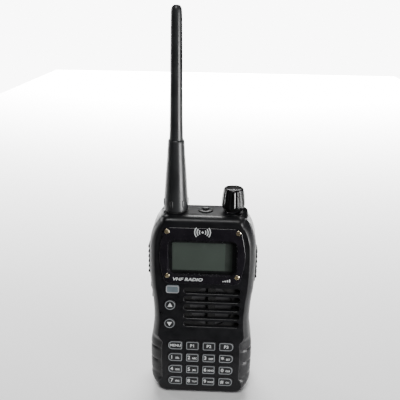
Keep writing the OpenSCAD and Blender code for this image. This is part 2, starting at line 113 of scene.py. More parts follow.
def grain(nodes, links, coords, scale, detail=4.0):
    noise = nodes.new("ShaderNodeTexNoise")
    noise.inputs["Scale"].default_value = scale
    noise.inputs["Detail"].default_value = detail
    links.new(coords.outputs["Object"], noise.inputs["Vector"])
    return noise.outputs["Fac"]


def ramp(nodes, links, value, low, high):
    node = nodes.new("ShaderNodeMapRange")
    node.inputs["To Min"].default_value = low
    node.inputs["To Max"].default_value = high
    node.inputs["From Min"].default_value = 0.3
    node.inputs["From Max"].default_value = 0.7
    links.new(value, node.inputs["Value"])
    return node.outputs["Result"]


def finish_of(name, colour, rough, fine=2500, bump=0.1, vary=0.18, patch=220, metallic=0.0, coat=0.0,
              specular=0.5, wear=0.25, alpha=1.0, transmission=0.0):
    """A moulded or metal surface: fine grain, patches of colour and roughness, dust and rub marks."""
    material = bpy.data.materials.new(name)
    material.use_nodes = True
    nodes, links = material.node_tree.nodes, material.node_tree.links
    shader = nodes["Principled BSDF"]
    coords = nodes.new("ShaderNodeTexCoord")
    small = grain(nodes, links, coords, fine, 2.0)
    large = grain(nodes, links, coords, patch, 5.0)
    tint = nodes.new("ShaderNodeMix")
    tint.data_type = "RGBA"
    tint.inputs["A"].default_value = (*[c * (1 - vary) for c in colour], 1)
    tint.inputs["B"].default_value = (*[min(1.0, c * (1 + vary) + 0.004 * wear) for c in colour], 1)
    links.new(ramp(nodes, links, large, 0, 1), tint.inputs["Factor"])
    links.new(tint.outputs["Result"], shader.inputs["Base Color"])
    both = nodes.new("ShaderNodeMath")
    both.operation = "MULTIPLY_ADD"
    both.inputs[1].default_value = 0.35
    links.new(small, both.inputs[0])
    links.new(large, both.inputs[2])
    low, high = max(0.02, rough * (1 - wear)), min(1, rough * (1 + wear))
    links.new(ramp(nodes, links, both.outputs[0], low, high), shader.inputs["Roughness"])
    height = nodes.new("ShaderNodeBump")
    height.inputs["Strength"].default_value = bump
    height.inputs["Distance"].default_value = 0.0002
    links.new(small, height.inputs["Height"])
    links.new(height.outputs["Normal"], shader.inputs["Normal"])
    shader.inputs["Metallic"].default_value = metallic
    shader.inputs["Coat Weight"].default_value = coat
    shader.inputs["Coat Roughness"].default_value = 0.06
    shader.inputs["Specular IOR Level"].default_value = specular
    shader.inputs["Transmission Weight"].default_value = transmission
    shader.inputs["Alpha"].default_value = alpha
    return material


def brushed(name, colour, rough, axis="z"):
    """Turned or drawn metal: the grain is stretched along one axis."""
    material = finish_of(name, colour, rough, metallic=1.0, bump=0.05, wear=0.4)
    nodes, links = material.node_tree.nodes, material.node_tree.links
    coords = next(n for n in nodes if n.type == "TEX_COORD")
    stretch = nodes.new("ShaderNodeMapping")
    stretch.inputs["Scale"].default_value = [0.08 if a == axis else 1.0 for a in "xyz"]
    links.new(coords.outputs["Object"], stretch.inputs["Vector"])
    for noise in [n for n in nodes if n.type == "TEX_NOISE"]:
        links.new(stretch.outputs["Vector"], noise.inputs["Vector"])
    return material


def woven(name, colour, pitch):
    """Speaker cloth: a small square weave."""
    material = finish_of(name, colour, 0.75, bump=0.2)
    nodes, links = material.node_tree.nodes, material.node_tree.links
    shader = nodes["Principled BSDF"]
    coords = next(n for n in nodes if n.type == "TEX_COORD")
    threads = []
    for axis in ("X", "Z"):
        wave = nodes.new("ShaderNodeTexWave")
        wave.bands_direction = axis
        wave.inputs["Scale"].default_value = 0.314 / (pitch * MM)
        wave.inputs["Distortion"].default_value = 0.6
        wave.inputs["Detail Scale"].default_value = 3
        links.new(coords.outputs["Object"], wave.inputs["Vector"])
        threads.append(wave.outputs["Fac"])
    weave = nodes.new("ShaderNodeMath")
    weave.operation = "MULTIPLY"
    links.new(threads[0], weave.inputs[0])
    links.new(threads[1], weave.inputs[1])
    height = nodes.new("ShaderNodeBump")
    height.inputs["Strength"].default_value = 0.8
    height.inputs["Distance"].default_value = 0.0002
    links.new(weave.outputs[0], height.inputs["Height"])
    links.new(height.outputs["Normal"], shader.inputs["Normal"])
    tint = next(n for n in nodes if n.type == "MIX")
    links.new(weave.outputs[0], tint.inputs["Factor"])
    tint.inputs["A"].default_value = (*[c * 0.3 for c in colour], 1)
    tint.inputs["B"].default_value = (*[c * 1.8 for c in colour], 1)
    return material


CASE = finish_of("case_plastic", (0.0065, 0.0065, 0.0075), 0.30, fine=3200, bump=0.15, wear=0.3,
                 specular=0.28)
PACK = finish_of("pack_plastic", (0.008, 0.008, 0.009), 0.45, fine=2400, bump=0.35, wear=0.3)
PANEL = finish_of("panel_gloss", (0.0075, 0.0065, 0.009), 0.18, fine=900, bump=0.012, wear=0.35,
                  coat=0.08, specular=0.4)
CHASSIS = finish_of("chassis_paint", (0.011, 0.011, 0.012), 0.55, fine=1800, bump=0.4, wear=0.2)
RUBBER = finish_of("black_rubber", (0.010, 0.010, 0.0105), 0.58, fine=2800, bump=0.3, wear=0.2)
GREY_RUBBER = finish_of("grey_rubber", (0.08, 0.08, 0.085), 0.6, bump=0.2)
KEY = finish_of("key_plastic", (0.0075, 0.0075, 0.0085), 0.34, fine=3600, bump=0.14, wear=0.3)
PRINT = finish_of("pale_print", (0.60, 0.62, 0.62), 0.45, fine=4000, bump=0.05, vary=0.08)
OUTLINE = finish_of("grey_print", (0.23, 0.245, 0.255), 0.45, fine=4000, bump=0.05, vary=0.12)
FUNCTION = finish_of("clear_grey_key", (0.12, 0.148, 0.165), 0.30, fine=1500, bump=0.05, coat=0.4)
FUNCTION_RIM = finish_of("clear_grey_rim", (0.33, 0.34, 0.35), 0.35, fine=1500, bump=0.05)
KNOB = finish_of("knob_gloss", (0.0045, 0.0045, 0.005), 0.16, fine=1200, bump=0.02, wear=0.4,
                 specular=0.4)
ANTENNA = finish_of("antenna_rubber", (0.018, 0.019, 0.020), 0.31, fine=1600, bump=0.10, patch=120,
                    wear=0.2)
LAMP = finish_of("smoked_lamp", (0.004, 0.004, 0.005), 0.34, fine=900, bump=0.01, specular=0.25)
LENS = finish_of("clear_lens", (0.02, 0.022, 0.02), 0.05, fine=500, bump=0.01, alpha=0.10, specular=0.3)
LCD = finish_of("display_glass", (0.060, 0.078, 0.065), 0.45, fine=5000, bump=0.01, vary=0.06,
                patch=60, wear=0.15)
# A darker tone of the display glass, laid on the strip at its right end.
LCD_DARK_STRIP = finish_of("display_dark_strip", (0.030, 0.039, 0.032), 0.45, fine=5000, bump=0.01, vary=0.1)
MASK = finish_of("display_mask", (0.005, 0.005, 0.006), 0.25, fine=2000, bump=0.02)
CLOTH = woven("speaker_cloth", (0.011, 0.011, 0.0115), 0.55)
STEEL = brushed("plated_steel", (0.62, 0.62, 0.63), 0.28)
GOLD_SCREW = brushed("gilt_screw", (0.86, 0.74, 0.52), 0.22, "y")
GOLD = brushed("gold_contact", (0.85, 0.62, 0.28), 0.22)
BOARD = finish_of("solder_mask", (0.015, 0.11, 0.055), 0.30, fine=1200, bump=0.05, vary=0.3, patch=600)
CELL = finish_of("cell_wrap", (0.03, 0.11, 0.28), 0.32, fine=800, bump=0.05)
FLOOR = finish_of("pale_floor", (0.88, 0.88, 0.88), 0.95, fine=30, bump=0.02, vary=0.01, patch=2,
                  specular=0.0, wear=0.05)
WHITE = finish_of("light_frame", (0.72, 0.72, 0.69), 0.5, bump=0.05)
CONE = finish_of("speaker_cone", (0.03, 0.03, 0.032), 0.6, fine=1500, bump=0.3)

# ---- Mesh helpers -------------------------------------------------------------------------


def piece(name, bm, material, body=RADIO, replaces=(), smooth=35):
    """A finished object from a bmesh in millimetres."""
    bmesh.ops.remove_doubles(bm, verts=bm.verts, dist=1e-4)
    bmesh.ops.recalc_face_normals(bm, faces=bm.faces)
    bmesh.ops.scale(bm, vec=(MM, MM, MM), verts=bm.verts)
    mesh = bpy.data.meshes.new(name)
    bm.to_mesh(mesh)
    bm.free()
    ob = bpy.data.objects.new(name, mesh)
    bpy.context.collection.objects.link(ob)
    ob.data.materials.append(material)
    for polygon in mesh.polygons:
        polygon.use_smooth = True
    mesh.set_sharp_from_angle(angle=math.radians(smooth))
    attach(ob, body)
    if replaces:
        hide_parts(*replaces)
    return ob


def tool(bm):
    """A cutter for carve(), removed after use."""
    bmesh.ops.recalc_face_normals(bm, faces=bm.faces)
    bmesh.ops.scale(bm, vec=(MM, MM, MM), verts=bm.verts)
    mesh = bpy.data.meshes.new("cutter")
    bm.to_mesh(mesh)
    bm.free()
    ob = bpy.data.objects.new("cutter", mesh)
    bpy.context.collection.objects.link(ob)
    return ob


def apply_modifiers(ob):
    graph = bpy.context.evaluated_depsgraph_get()
    mesh = bpy.data.meshes.new_from_object(ob.evaluated_get(graph))
    ob.modifiers.clear()
    ob.data = mesh


def carve(ob, cutters, operation="DIFFERENCE", smooth=35):
    for cutter in cutters:
        mod = ob.modifiers.new("carve", "BOOLEAN")
        mod.object = cutter
        mod.operation = operation
        mod.solver = "EXACT"
    bpy.context.view_layer.update()
    apply_modifiers(ob)
    for cutter in cutters:
        bpy.data.objects.remove(cutter)
    for polygon in ob.data.polygons:
        polygon.use_smooth = True
    ob.data.set_sharp_from_angle(angle=math.radians(smooth))


def soften(ob, width, segments=2, angle=35):
    mod = ob.modifiers.new("soften", "BEVEL")
    mod.width = width * MM
    mod.segments = segments
    mod.limit_method = "ANGLE"
    mod.angle_limit = math.radians(angle)
    mod.use_clamp_overlap = True
    mod.harden_normals = True
    return ob


def bridge(bm, rings, closed=True):
    """Quads between rings that have the same number of points."""
    made = [[bm.verts.new(p) for p in ring] for ring in rings]
    count = len(made[0])
    for a, b in zip(made, made[1:]):
        for i in range(count if closed else count - 1):
            j = (i + 1) % count
            bm.faces.new((a[i], a[j], b[j], b[i]))
    return made


def solid_between(rings):
    """A closed solid through rings, with flat ends."""
    bm = bmesh.new()
    made = bridge(bm, rings)
    bm.faces.new(made[0])
    bm.faces.new(made[-1])
    return bm


def arc(cx, cz, r, a0, a1, steps):
    return [(cx + r * math.cos(math.radians(a0 + (a1 - a0) * k / steps)),
             cz + r * math.sin(math.radians(a0 + (a1 - a0) * k / steps))) for k in range(steps + 1)]


def rounded(cx, cz, w, h, left, right, steps=8):
    """Outline of a rounded rectangle with its own left and right corner radii."""
    points = []
    for sx, sz, r, a in ((1, -1, right, -90), (1, 1, right, 0), (-1, 1, left, 90), (-1, -1, left, 180)):
        points += arc(cx + sx * (w / 2 - r), cz + sz * (h / 2 - r), r, a, a + 90, steps)
    return points


def shrink(points, by):
    """The outline taken in by a distance, along its own normals. Points run anticlockwise."""
    out = []
    for i, p in enumerate(points):
        before, after = Vector(points[i - 1]), Vector(points[(i + 1) % len(points)])
        along = after - before
        if along.length < 1e-9:
            out.append(tuple(p))
            continue
        along.normalize()
        out.append((p[0] - along.y * by, p[1] + along.x * by))
    return out


def tidy(points):
    """The outline without repeated points."""
    kept = [p for i, p in enumerate(points) if (Vector(p) - Vector(points[i - 1])).length > 1e-5]
    return kept


def at_depth(points, y):
    return [(x, y, z) for x, z in points]


def lid(points, y0, y1, edge=0.3, steps=3, back_edge=0.0):
    """A plate with that outline from y0 to y1, its front edge (and back edge, if asked) rounded."""
    rings = []
    for k in range(steps + 1):
        a = math.radians(90 * k / steps)
        rings.append(at_depth(shrink(points, edge * (1 - math.sin(a))), y0 + edge * (1 - math.cos(a))))
    if back_edge:
        for k in range(steps + 1):
            a = math.radians(90 * k / steps)
            inner = shrink(points, back_edge * (1 - math.cos(a)))
            rings.append(at_depth(inner, y1 - back_edge * (1 - math.sin(a))))
    else:
        rings.append(at_depth(points, y1))
    return solid_between(rings)


def prism(points, y0, y1):
    return solid_between([at_depth(points, y0), at_depth(points, y1)])


def box(x0, x1, y0, y1, z0, z1):
    return prism([(x0, z0), (x1, z0), (x1, z1), (x0, z1)], y0, y1)


def lathe(profile, cx, cy, steps=96, radius=None):
    """A turned solid about the vertical line through (cx, cy). radius(r, z, a) may flute it."""
    rings = []
    for r, z in profile:
        ring = []
        for k in range(steps):
            a = 2 * math.pi * k / steps
            rr = radius(r, z, a) if radius else r
            ring.append((cx + rr * math.cos(a), cy + rr * math.sin(a), z))
        rings.append(ring)
    return solid_between(rings)


def smooth_line(points, per=6):
    """A Catmull-Rom curve through the points."""
    out = []
    last = len(points) - 1
    for i in range(last):
        a, b, c, d = (Vector(points[min(max(i + k, 0), last)]) for k in (-1, 0, 1, 2))
        for k in range(per):
            t = k / per
            out.append(tuple(0.5 * (2 * b + (c - a) * t + (2 * a - 5 * b + 4 * c - d) * t ** 2
                                    + (3 * b - a - 3 * c + d) * t ** 3)))
    out.append(tuple(points[-1]))
    return out


def merge(bm, other):
    mesh = bpy.data.meshes.new("part")
    other.to_mesh(mesh)
    other.free()
    bm.from_mesh(mesh)
    bpy.data.meshes.remove(mesh)
    return bm


# ---- Case outline -------------------------------------------------------------------------


def right_half(top=None):
    """The right side of the case outline, from the middle of the base to the middle of the top."""
    curve = smooth_line([(w, z) for z, w in SIDE], 12)
    if top:
        curve = [p for p in curve if p[1] < top] + [(next(p[0] for p in curve if p[1] >= top), top)]
    else:
        start = [p for p in curve if p[1] <= CORNER_FROM]
        a, b, c = Vector(start[-1]), Vector((21.8, BODY_H)), Vector((18.4, BODY_H))
        bend = [tuple(a * (1 - t) ** 2 + b * 2 * t * (1 - t) + c * t * t)
                for t in (k / 14 for k in range(1, 15))]
        curve = start + bend
    corner = arc(SIDE[0][1] - BASE_R, BASE_R, BASE_R, -90, 0, 20)[:-1]
    line = [(0, 0)] + [(x, 0) for x in (6, 12)] + corner + curve
    line += [(curve[-1][0] * k, curve[-1][1]) for k in (0.66, 0.33, 0)]
    return line


def case_outline(top=None):
    half = right_half(top)
    return half + [(-x, z) for x, z in reversed(half[1:-1])]


def inward(points):
    """Unit normals pointing into the outline."""
    normals = []
    for i in range(len(points)):
        a, b = Vector(points[i - 1]), Vector(points[(i + 1) % len(points)])
        d = (b - a).normalized()
        normals.append(Vector((-d.y, d.x)))
    return normals


def step_between(z, low, high):
    t = min(1.0, max(0.0, (z - low) / (high - low)))
    return t * t * (3 - 2 * t)


def shoulder(x, z):
    """How far the flat of the front stays inside the outline at that place on it."""
    side = 3.9 + 2.9 * (1 - step_between(z, 33.5, 37.0))
    if z > 96:
        return 3.9 - 0.5 * step_between(z, 96, BODY_H - 0.5)
    if z < BASE_R:
        return 2.4 + (side - 2.4) * step_between(z, 0.5, BASE_R)
    return side


def grip(z):
    """Depth of the grip grooves at that height."""
    depth = sum(math.exp(-((z - g) / 0.55) ** 2) for g in GROOVES)
    return 0.75 * depth


def keypad_step(z):
    """How much the keypad panel stands proud of the grips at that height, 0 to 1."""
    return (1 - step_between(z, 33.5, 37.0)) * step_between(z, 5.0, 8.5)


def shell_point(place, normal, k, count):
    """A point of the front shell: k = 0 is the edge of the flat face, k = count the full width."""
    x, z = place
    start = math.radians(24 * (1 - step_between(z, 104.5, 106.5)) * step_between(z, 0.3, 4.0))
    a = start + (math.pi / 2 - start) * k / count
    lean = (1 - math.sin(a)) / (1 - math.sin(start))
    fall = (math.cos(start) - math.cos(a)) / math.cos(start)
    reach = 7.5 - 3.2 * step_between(z, 104.5, BODY_H - 0.5) - 4.0 * (1 - step_between(z, 0.3, 3.0))
    y = Y_FRONT + reach * fall + EDGE_STEP[1] * keypad_step(z) * (1 - fall)
    p = Vector(place) + normal * (shoulder(x, z) - EDGE_STEP[0] * keypad_step(z)) * lean
    if k and BASE_R - 4 < z < 36:
        cut = grip(z) * min(1.0, k / 3)
        p += normal * cut * fall
        y += cut * (1 - fall) * 0.8
    return (p.x, y, p.y)


def front_shell_rings():
    outline = case_outline()
    normals = inward(outline)
    rings = [[(x + n.x * shoulder(x, z), Y_FRONT, z + n.y * shoulder(x, z))
              for (x, z), n in zip(outline, normals)]]
    count = 12
    for k in range(count + 1):
        rings.append([shell_point(p, n, k, count) for p, n in zip(outline, normals)])
    for y, inset in ((Y_SPLIT - 0.5, 0.0), (Y_SPLIT, 0.25)):
        ring = []
        for (x, z), n in zip(outline, normals):
            cut = inset + (grip(z) if BASE_R - 4 < z < 36 else 0)
            ring.append((x + n.x * cut, y, z + n.y * cut))
        rings.append(ring)
    return rings


def flared(w, h, cx, cz, left, right, flare, y_in):
    """A through cutter with a slightly wider mouth at the front face."""
    rings = []
    for grow, y in ((flare, Y_FRONT - 0.5), (flare, Y_FRONT), (0, Y_FRONT + flare), (0, y_in)):
        rings.append(at_depth(rounded(cx, cz, w + 2 * grow, h + 2 * grow, left + grow, right + grow), y))
    return tool(solid_between(rings))


def cavity():
    """The hollow of the front case, bevelled beside the keypad, where the outside slopes in."""
    back = shrink(case_outline(), 2)
    front = []
    for (x, z), n in zip(back, inward(back)):
        bevel = 2.2 * (1 - step_between(z, 36.0, 39.0))
        front.append((x + n.x * bevel, z + n.y * bevel))
    return solid_between([at_depth(front, Y_WALL), at_depth(back, Y_WALL + 2.6),
                          at_depth(back, Y_SPLIT + 1)])


def front_housing():
    ob = piece("front_case", solid_between(front_shell_rings()), CASE,
               replaces=("front_housing",))
    cutters = [tool(cavity())]
    cutters.append(tool(prism(tidy(plate_outline(0.12)), Y_FRONT - 2, PLATE_BACK)))
    window = rounded(0, WINDOW[2], WINDOW[0] + 1.4, WINDOW[1] + 1.4, 1.6, 1.6)
    cutters.append(tool(prism(window, -20, Y_WALL + 1)))
    for name, x, z, w, h, left, right in KEYS:
        g, corner = 2 * KEY_GAP, 0.9 * KEY_GAP
        cutters.append(flared(w + g, h + g, x, z, left + corner, right + corner, 0.12, Y_WALL + 1))
    for i in range(-2, 3):
        z = SPEAKER[1] + i * SLOT[2]
        cutters.append(flared(SLOT[0] - 0.5, SLOT[1] - 0.5, SPEAKER[0], z, 1.69, 1.69, 0.2, Y_WALL + 1))
    cutters.append(tool(prism(arc(*MIC, 0.45, 0, 345, 23), Y_FRONT - 2, Y_WALL + 1)))
    cutters += side_openings()
    carve(ob, cutters)
    flat = ob.modifiers.new("even", "WEIGHTED_NORMAL")
    flat.keep_sharp = True
    flat.weight = 80


def side_openings():
    low, high = box_mm("ptt_button")
    cutters = [tool(box(-33, -24.9, low[1] - 0.3, high[1] + 0.3, low[2] + 0.9, high[2] + 0.3))]
    for name in ("side_key_upper", "side_key_lower"):
        low, high = box_mm(name)
        cutters.append(tool(box(-33, -24, low[1] + 0.55, high[1] - 0.55, low[2] + 0.45, high[2] - 0.45)))
    low, high = box_mm("jack_cover")
    cutters.append(tool(box(25.4, 33, low[1] + 0.5, high[1] - 0.5, low[2] - 0.2, 90)))
    for x, r in ((ANTENNA_X, 3.15), (KNOB_X, 3.6), (LAMP_X, 2.0)):
        cutters.append(tool(lathe([(r, BODY_H - 4), (r, BODY_H + 2)], x, Y_TOP, 48)))
    cutters.append(tool(box(-7.2, 7.2, 0.4, Y_SPLIT + 2, -1, 2.5)))
    return cutters


def knob_guard():
    """The raised, polished lip round the right of the knob."""
    bm = bmesh.new()
    steps = 40
    rings = []
    for k in range(steps + 1):
        a = math.radians(-66 + 132 * k / steps)
        top = BODY_H - 0.5 + 1.9 * min(1, math.sin(math.pi * k / steps) * 1.9)
        ring = []
        rise = top - BODY_H
        for r, z in ((5.6, BODY_H - 1.0), (5.9, BODY_H - 0.1), (6.4, BODY_H + rise * 0.3),
                     (6.85, BODY_H + rise * 0.75), (7.1, top - 0.08), (7.35, top),
                     (7.65, top - 0.15), (7.95, top - 0.7), (8.6, BODY_H - 1.8)):
            ring.append((KNOB_X + r * math.cos(a), Y_TOP + r * math.sin(a), z))
        rings.append(ring)
    made = bridge(bm, rings)
    bm.faces.new(made[0])
    bm.faces.new(made[-1])
    piece("knob_guard", bm, KNOB)


# ---- Display ------------------------------------------------------------------------------


def plate_outline(grow=0.0):
    r = 4
    z0, z1 = PLATE_Z0 - grow, PLATE_Z1 + grow
    mid = plate_x1 + grow
    end = mid - 1.9
    half = arc(end - r, z0 + r, r, -90, 0, 10)[:-1]
    half += [(end + 1.9 * math.sin(math.pi * k / 24), z0 + r + (z1 - z0 - 2 * r) * k / 24)
             for k in range(25)]
    half += arc(end - r, z1 - r, r, 0, 90, 10)[1:]
    return half + [(-x, z) for x, z in reversed(half)]


def face_plate():
    plate = lid(tidy(plate_outline()), Y_FACE, PLATE_BACK, edge=0.45, steps=4)
    ob = piece("display_plate", plate, PANEL, replaces=("face_plate",))
    w, h, z = WINDOW
    rings = []
    for grow, y in ((1.0, Y_FACE - 0.5), (0.78, Y_FACE - 0.001), (0.5, Y_FACE + 0.7),
                    (0.0, Y_FACE + 0.85), (0.0, PLATE_BACK + 1)):
        rings.append(at_depth(rounded(0, z, w + 2 * grow, h + 2 * grow, 3.2 + grow, 3.2 + grow), y))
    cutters = [tool(solid_between(rings))]
    for x, sz in PLATE_SCREWS:
        cutters.append(tool(prism(arc(x, sz, 1.52, 0, 350, 35), Y_FACE - 1, PLATE_BACK - 0.3)))
    carve(ob, cutters)
    soften(ob, 0.08, 2, 40)


def display():
    w, h, z = WINDOW
    x0, x1, split = -16.1, 15.9, 12.1
    z0, z1 = 76.1, 92.3
    y = Y_WALL + 0.05
    bm = box(x0, split, y, y + 1.6, z0, z1)
    piece("display_glass", bm, LCD, replaces=("display_module",))
    # The right end of the display glass is a separate, darker strip.
    piece("display_glass_dark_strip", box(split, x1, y + 0.02, y + 1.6, z0, z1), LCD_DARK_STRIP)
    glass = rounded(0, z, w + 1.1, h + 1.1, 1.4, 1.4)
    mask = lid(glass, Y_WALL - 0.45, Y_WALL - 0.05, edge=0.05, steps=1)
    ob = piece("display_mask", mask, MASK)
    hole = prism(tidy(rounded((x0 + x1) / 2, (z0 + z1) / 2, x1 - x0 - 0.1, z1 - z0 - 0.1, 0.5, 0.5)),
                 Y_WALL - 2, Y_WALL + 1)
    carve(ob, [tool(hole)])
    lens = lid(glass, PLATE_BACK, Y_WALL - 0.5, edge=0.05, steps=1)
    piece("display_lens", lens, LENS, replaces=("display_window",))


def plate_screws():
    """Pan heads with a cross recess, shallow domes."""
    for k, (x, z) in enumerate(PLATE_SCREWS):
        profile = [(1.4 * math.cos(math.radians(a)), -0.42 * math.sin(math.radians(a)))
                   for a in range(0, 90, 12)]
        rings = [at_depth(arc(x, z, r, 0, 350, 35), Y_FACE + 0.28 + d) for r, d in profile]
        rings.insert(0, at_depth(arc(x, z, 1.4, 0, 350, 35), PLATE_BACK - 0.3))
        ob = piece(f"plate_screw_{k + 1}", solid_between(rings), GOLD_SCREW,
                   replaces=("plate_screws",) if k == 0 else ())
        cutters = []
        for turn in (20 + 25 * k, 110 + 25 * k):
            c, s = math.cos(math.radians(turn)), math.sin(math.radians(turn))
            pts = [(x + c * u - s * v, z + s * u + c * v)
                   for u, v in ((-0.85, -0.17), (0.85, -0.17), (0.85, 0.17), (-0.85, 0.17))]
            cutters.append(tool(prism(pts, Y_FACE - 1, Y_FACE + 0.32)))
        carve(ob, cutters)


# ---- Print --------------------------------------------------------------------------------


def lettering(text, x, z, size, y, bold=0.0, align="CENTER", shear=0.0, stretch=1.0):
    """Flat raised letters facing the front, as a bmesh in millimetres."""
    curve = bpy.data.curves.new("letters", "FONT")
    curve.body = text
    curve.size = size
    curve.align_x = align
    curve.align_y = "CENTER"
    curve.offset = bold
    curve.shear = shear
    curve.extrude = PRINT_DEPTH
    curve.resolution_u = 3
    ob = bpy.data.objects.new("letters", curve)
    bpy.context.collection.objects.link(ob)
    bpy.context.view_layer.update()
    mesh = bpy.data.meshes.new_from_object(ob.evaluated_get(bpy.context.evaluated_depsgraph_get()))
    bpy.data.objects.remove(ob)
    bm = bmesh.new()
    bm.from_mesh(mesh)
    bpy.data.meshes.remove(mesh)
    upright = Matrix.Rotation(math.pi / 2, 4, "X")
    place = Matrix.Translation((x, y, z)) @ upright @ Matrix.Scale(stretch, 4, (1, 0, 0))
    bmesh.ops.transform(bm, matrix=place, verts=bm.verts)
    return bm


def band(outer, inner, y0, y1):
    """A flat frame between two outlines with the same number of points."""
    bm = bmesh.new()
    bridge(bm, [at_depth(outer, y1), at_depth(outer, y0), at_depth(inner, y0), at_depth(inner, y1),
                at_depth(outer, y1)])
    return bm


def emblem():
    """A plain radio-wave sign above the display: a dot with three arcs on each side."""
    y0, y1 = Y_FACE - 0.04, Y_FACE + 0.02
    z = 99.2
    bm = prism(arc(0, z, 0.55, 0, 350, 35), y0, y1)
    for r in (1.7, 2.9, 4.1):
        for side in (0, 180):
            outer = arc(0, z, r + 0.26, side - 38, side + 38, 14)
            inner = arc(0, z, r - 0.26, side + 38, side - 38, 14)
            merge(bm, prism(outer + inner, y0, y1))
    piece("wave_sign", bm, PRINT)
    words = lettering("VHF RADIO", -15.9, 71.9, 2.5, Y_FACE - 0.005, bold=0.05, align="LEFT",
                      shear=0.25, stretch=1.25)
    piece("band_words", words, PRINT)
    bars = bmesh.new()
    for k, height in enumerate((0.5, 0.85, 1.2, 1.55)):
        x, foot = 11.0 + 1.15 * k, 71.1
        bar = [(x, foot), (x + 0.7, foot), (x + 0.7, foot + height), (x, foot + height)]
        merge(bars, prism(bar, y0, y1))
    piece("signal_bars", bars, PRINT)


# ---- Keys ---------------------------------------------------------------------------------


def key(name, x, z, w, h, left, right):
    body = f"key_{name}_body"

    def outline(d):
        return rounded(x, z, w - 2 * d, h - 2 * d, max(left - d, 0.1), max(right - d, 0.1))

    edge = 0.35
    rings = [at_depth(outline(1.7), Y_FACE + 0.06), at_depth(outline(1.0), Y_FACE + 0.07)]
    for k in range(4):
        a = math.radians(90 * k / 3)
        depth = Y_FACE + 0.12 + edge * (1 - math.cos(a))
        rings.append(at_depth(outline(edge * (1 - math.sin(a))), depth))
    rings.append(at_depth(outline(0), Y_WALL + 0.2))
    flange = rounded(x, z, w + 1, h + 1, left, right)
    cap = solid_between(rings)
    merge(cap, prism(flange, Y_WALL + 0.2, Y_WALL + 1))
    material = FUNCTION if name == "function" else KEY
    piece(f"cap_{name}", cap, material, body, replaces=(f"key_{name}",))
    y1 = Y_FACE + 0.3
    if name == "function":
        print_bm = band(outline(0.1), outline(0.55), Y_FACE + 0.02, y1)
        piece("rim_function", print_bm, FUNCTION_RIM, body)
        return
    frame_bm = band(outline(0.25), outline(0.62), Y_FACE, y1)
    piece(f"rim_{name}", frame_bm, OUTLINE, body)
    if name in ("up", "down"):
        turn = 1 if name == "up" else -1
        points = [(x - 1.35, z - 0.95 * turn), (x + 1.35, z - 0.95 * turn), (x, z + 1.45 * turn)]
        mark = prism(points[::turn], Y_FACE - 0.04, Y_FACE + 0.2)
    else:
        main, small = LEGENDS[name]
        if name == "menu":
            mark = lettering(main, x + 0.1, z, 2.25, Y_FACE, bold=0.03)
        elif not small:
            mark = lettering(main, x, z, 2.7, Y_FACE, bold=0.03)
        else:
            drop, size = (0.45, 4.2) if main == "*" else (0, 3.1)
            mark = lettering(main, x - 1.9, z - drop, size, Y_FACE, bold=0.05)
            merge(mark, lettering(small, x + 1.25, z - 0.35, 1.55, Y_FACE, bold=0.035, stretch=0.95))
    piece(f"legend_{name}", mark, PRINT, body)


# ---- Knob, antenna, lamp ------------------------------------------------------------------


def volume_knob():
    z0, z1 = knob_low[2], knob_high[2]
    waist = [(4.7, z0), (4.95, z0 + 0.15), (5.25, z0 + 0.9), (5.85, z0 + 1.9), (6.17, z0 + 2.75)]
    grip_part = [(6.2, z0 + 3.1), (6.14, z0 + 4.4), (5.95, z0 + 6.6), (5.68, z0 + 9.0),
                 (5.36, z0 + 11.2)]
    crown = [(5.28, z1 - 1.05), (5.1, z1 - 0.7), (4.7, z1 - 0.38), (4.2, z1 - 0.2), (2.4, z1 - 0.09),
             (0.3, z1 - 0.02)]
    line = smooth_line(waist, 3) + smooth_line(grip_part, 6) + smooth_line(crown, 3)

    def flute(r, z, a):
        along = step_between(z, z0 + 1.2, z0 + 3.4) * (1 - step_between(z, z0 + 10.8, z0 + 12.0))
        return r - 0.34 * along * (1 - abs(math.cos(8 * a))) ** 0.9

    turned = lathe(line, KNOB_X, Y_TOP, 240, flute)
    ob = piece("knob", turned, KNOB, "knob", ("volume_knob",))
    carve(ob, [tool(lathe([(4.9, z0 - 1), (4.9, z0 + 2.4)], KNOB_X, Y_TOP, 64)),
               tool(lathe([(3.0, z0), (3.0, z0 + 9.5)], KNOB_X, Y_TOP, 64))])
    tick = box(KNOB_X - 0.25, KNOB_X + 0.25, Y_TOP - 4.4, Y_TOP - 2.2, z1 - 0.5, z1 - 0.12)
    piece("knob_mark", tick, PRINT, "knob")


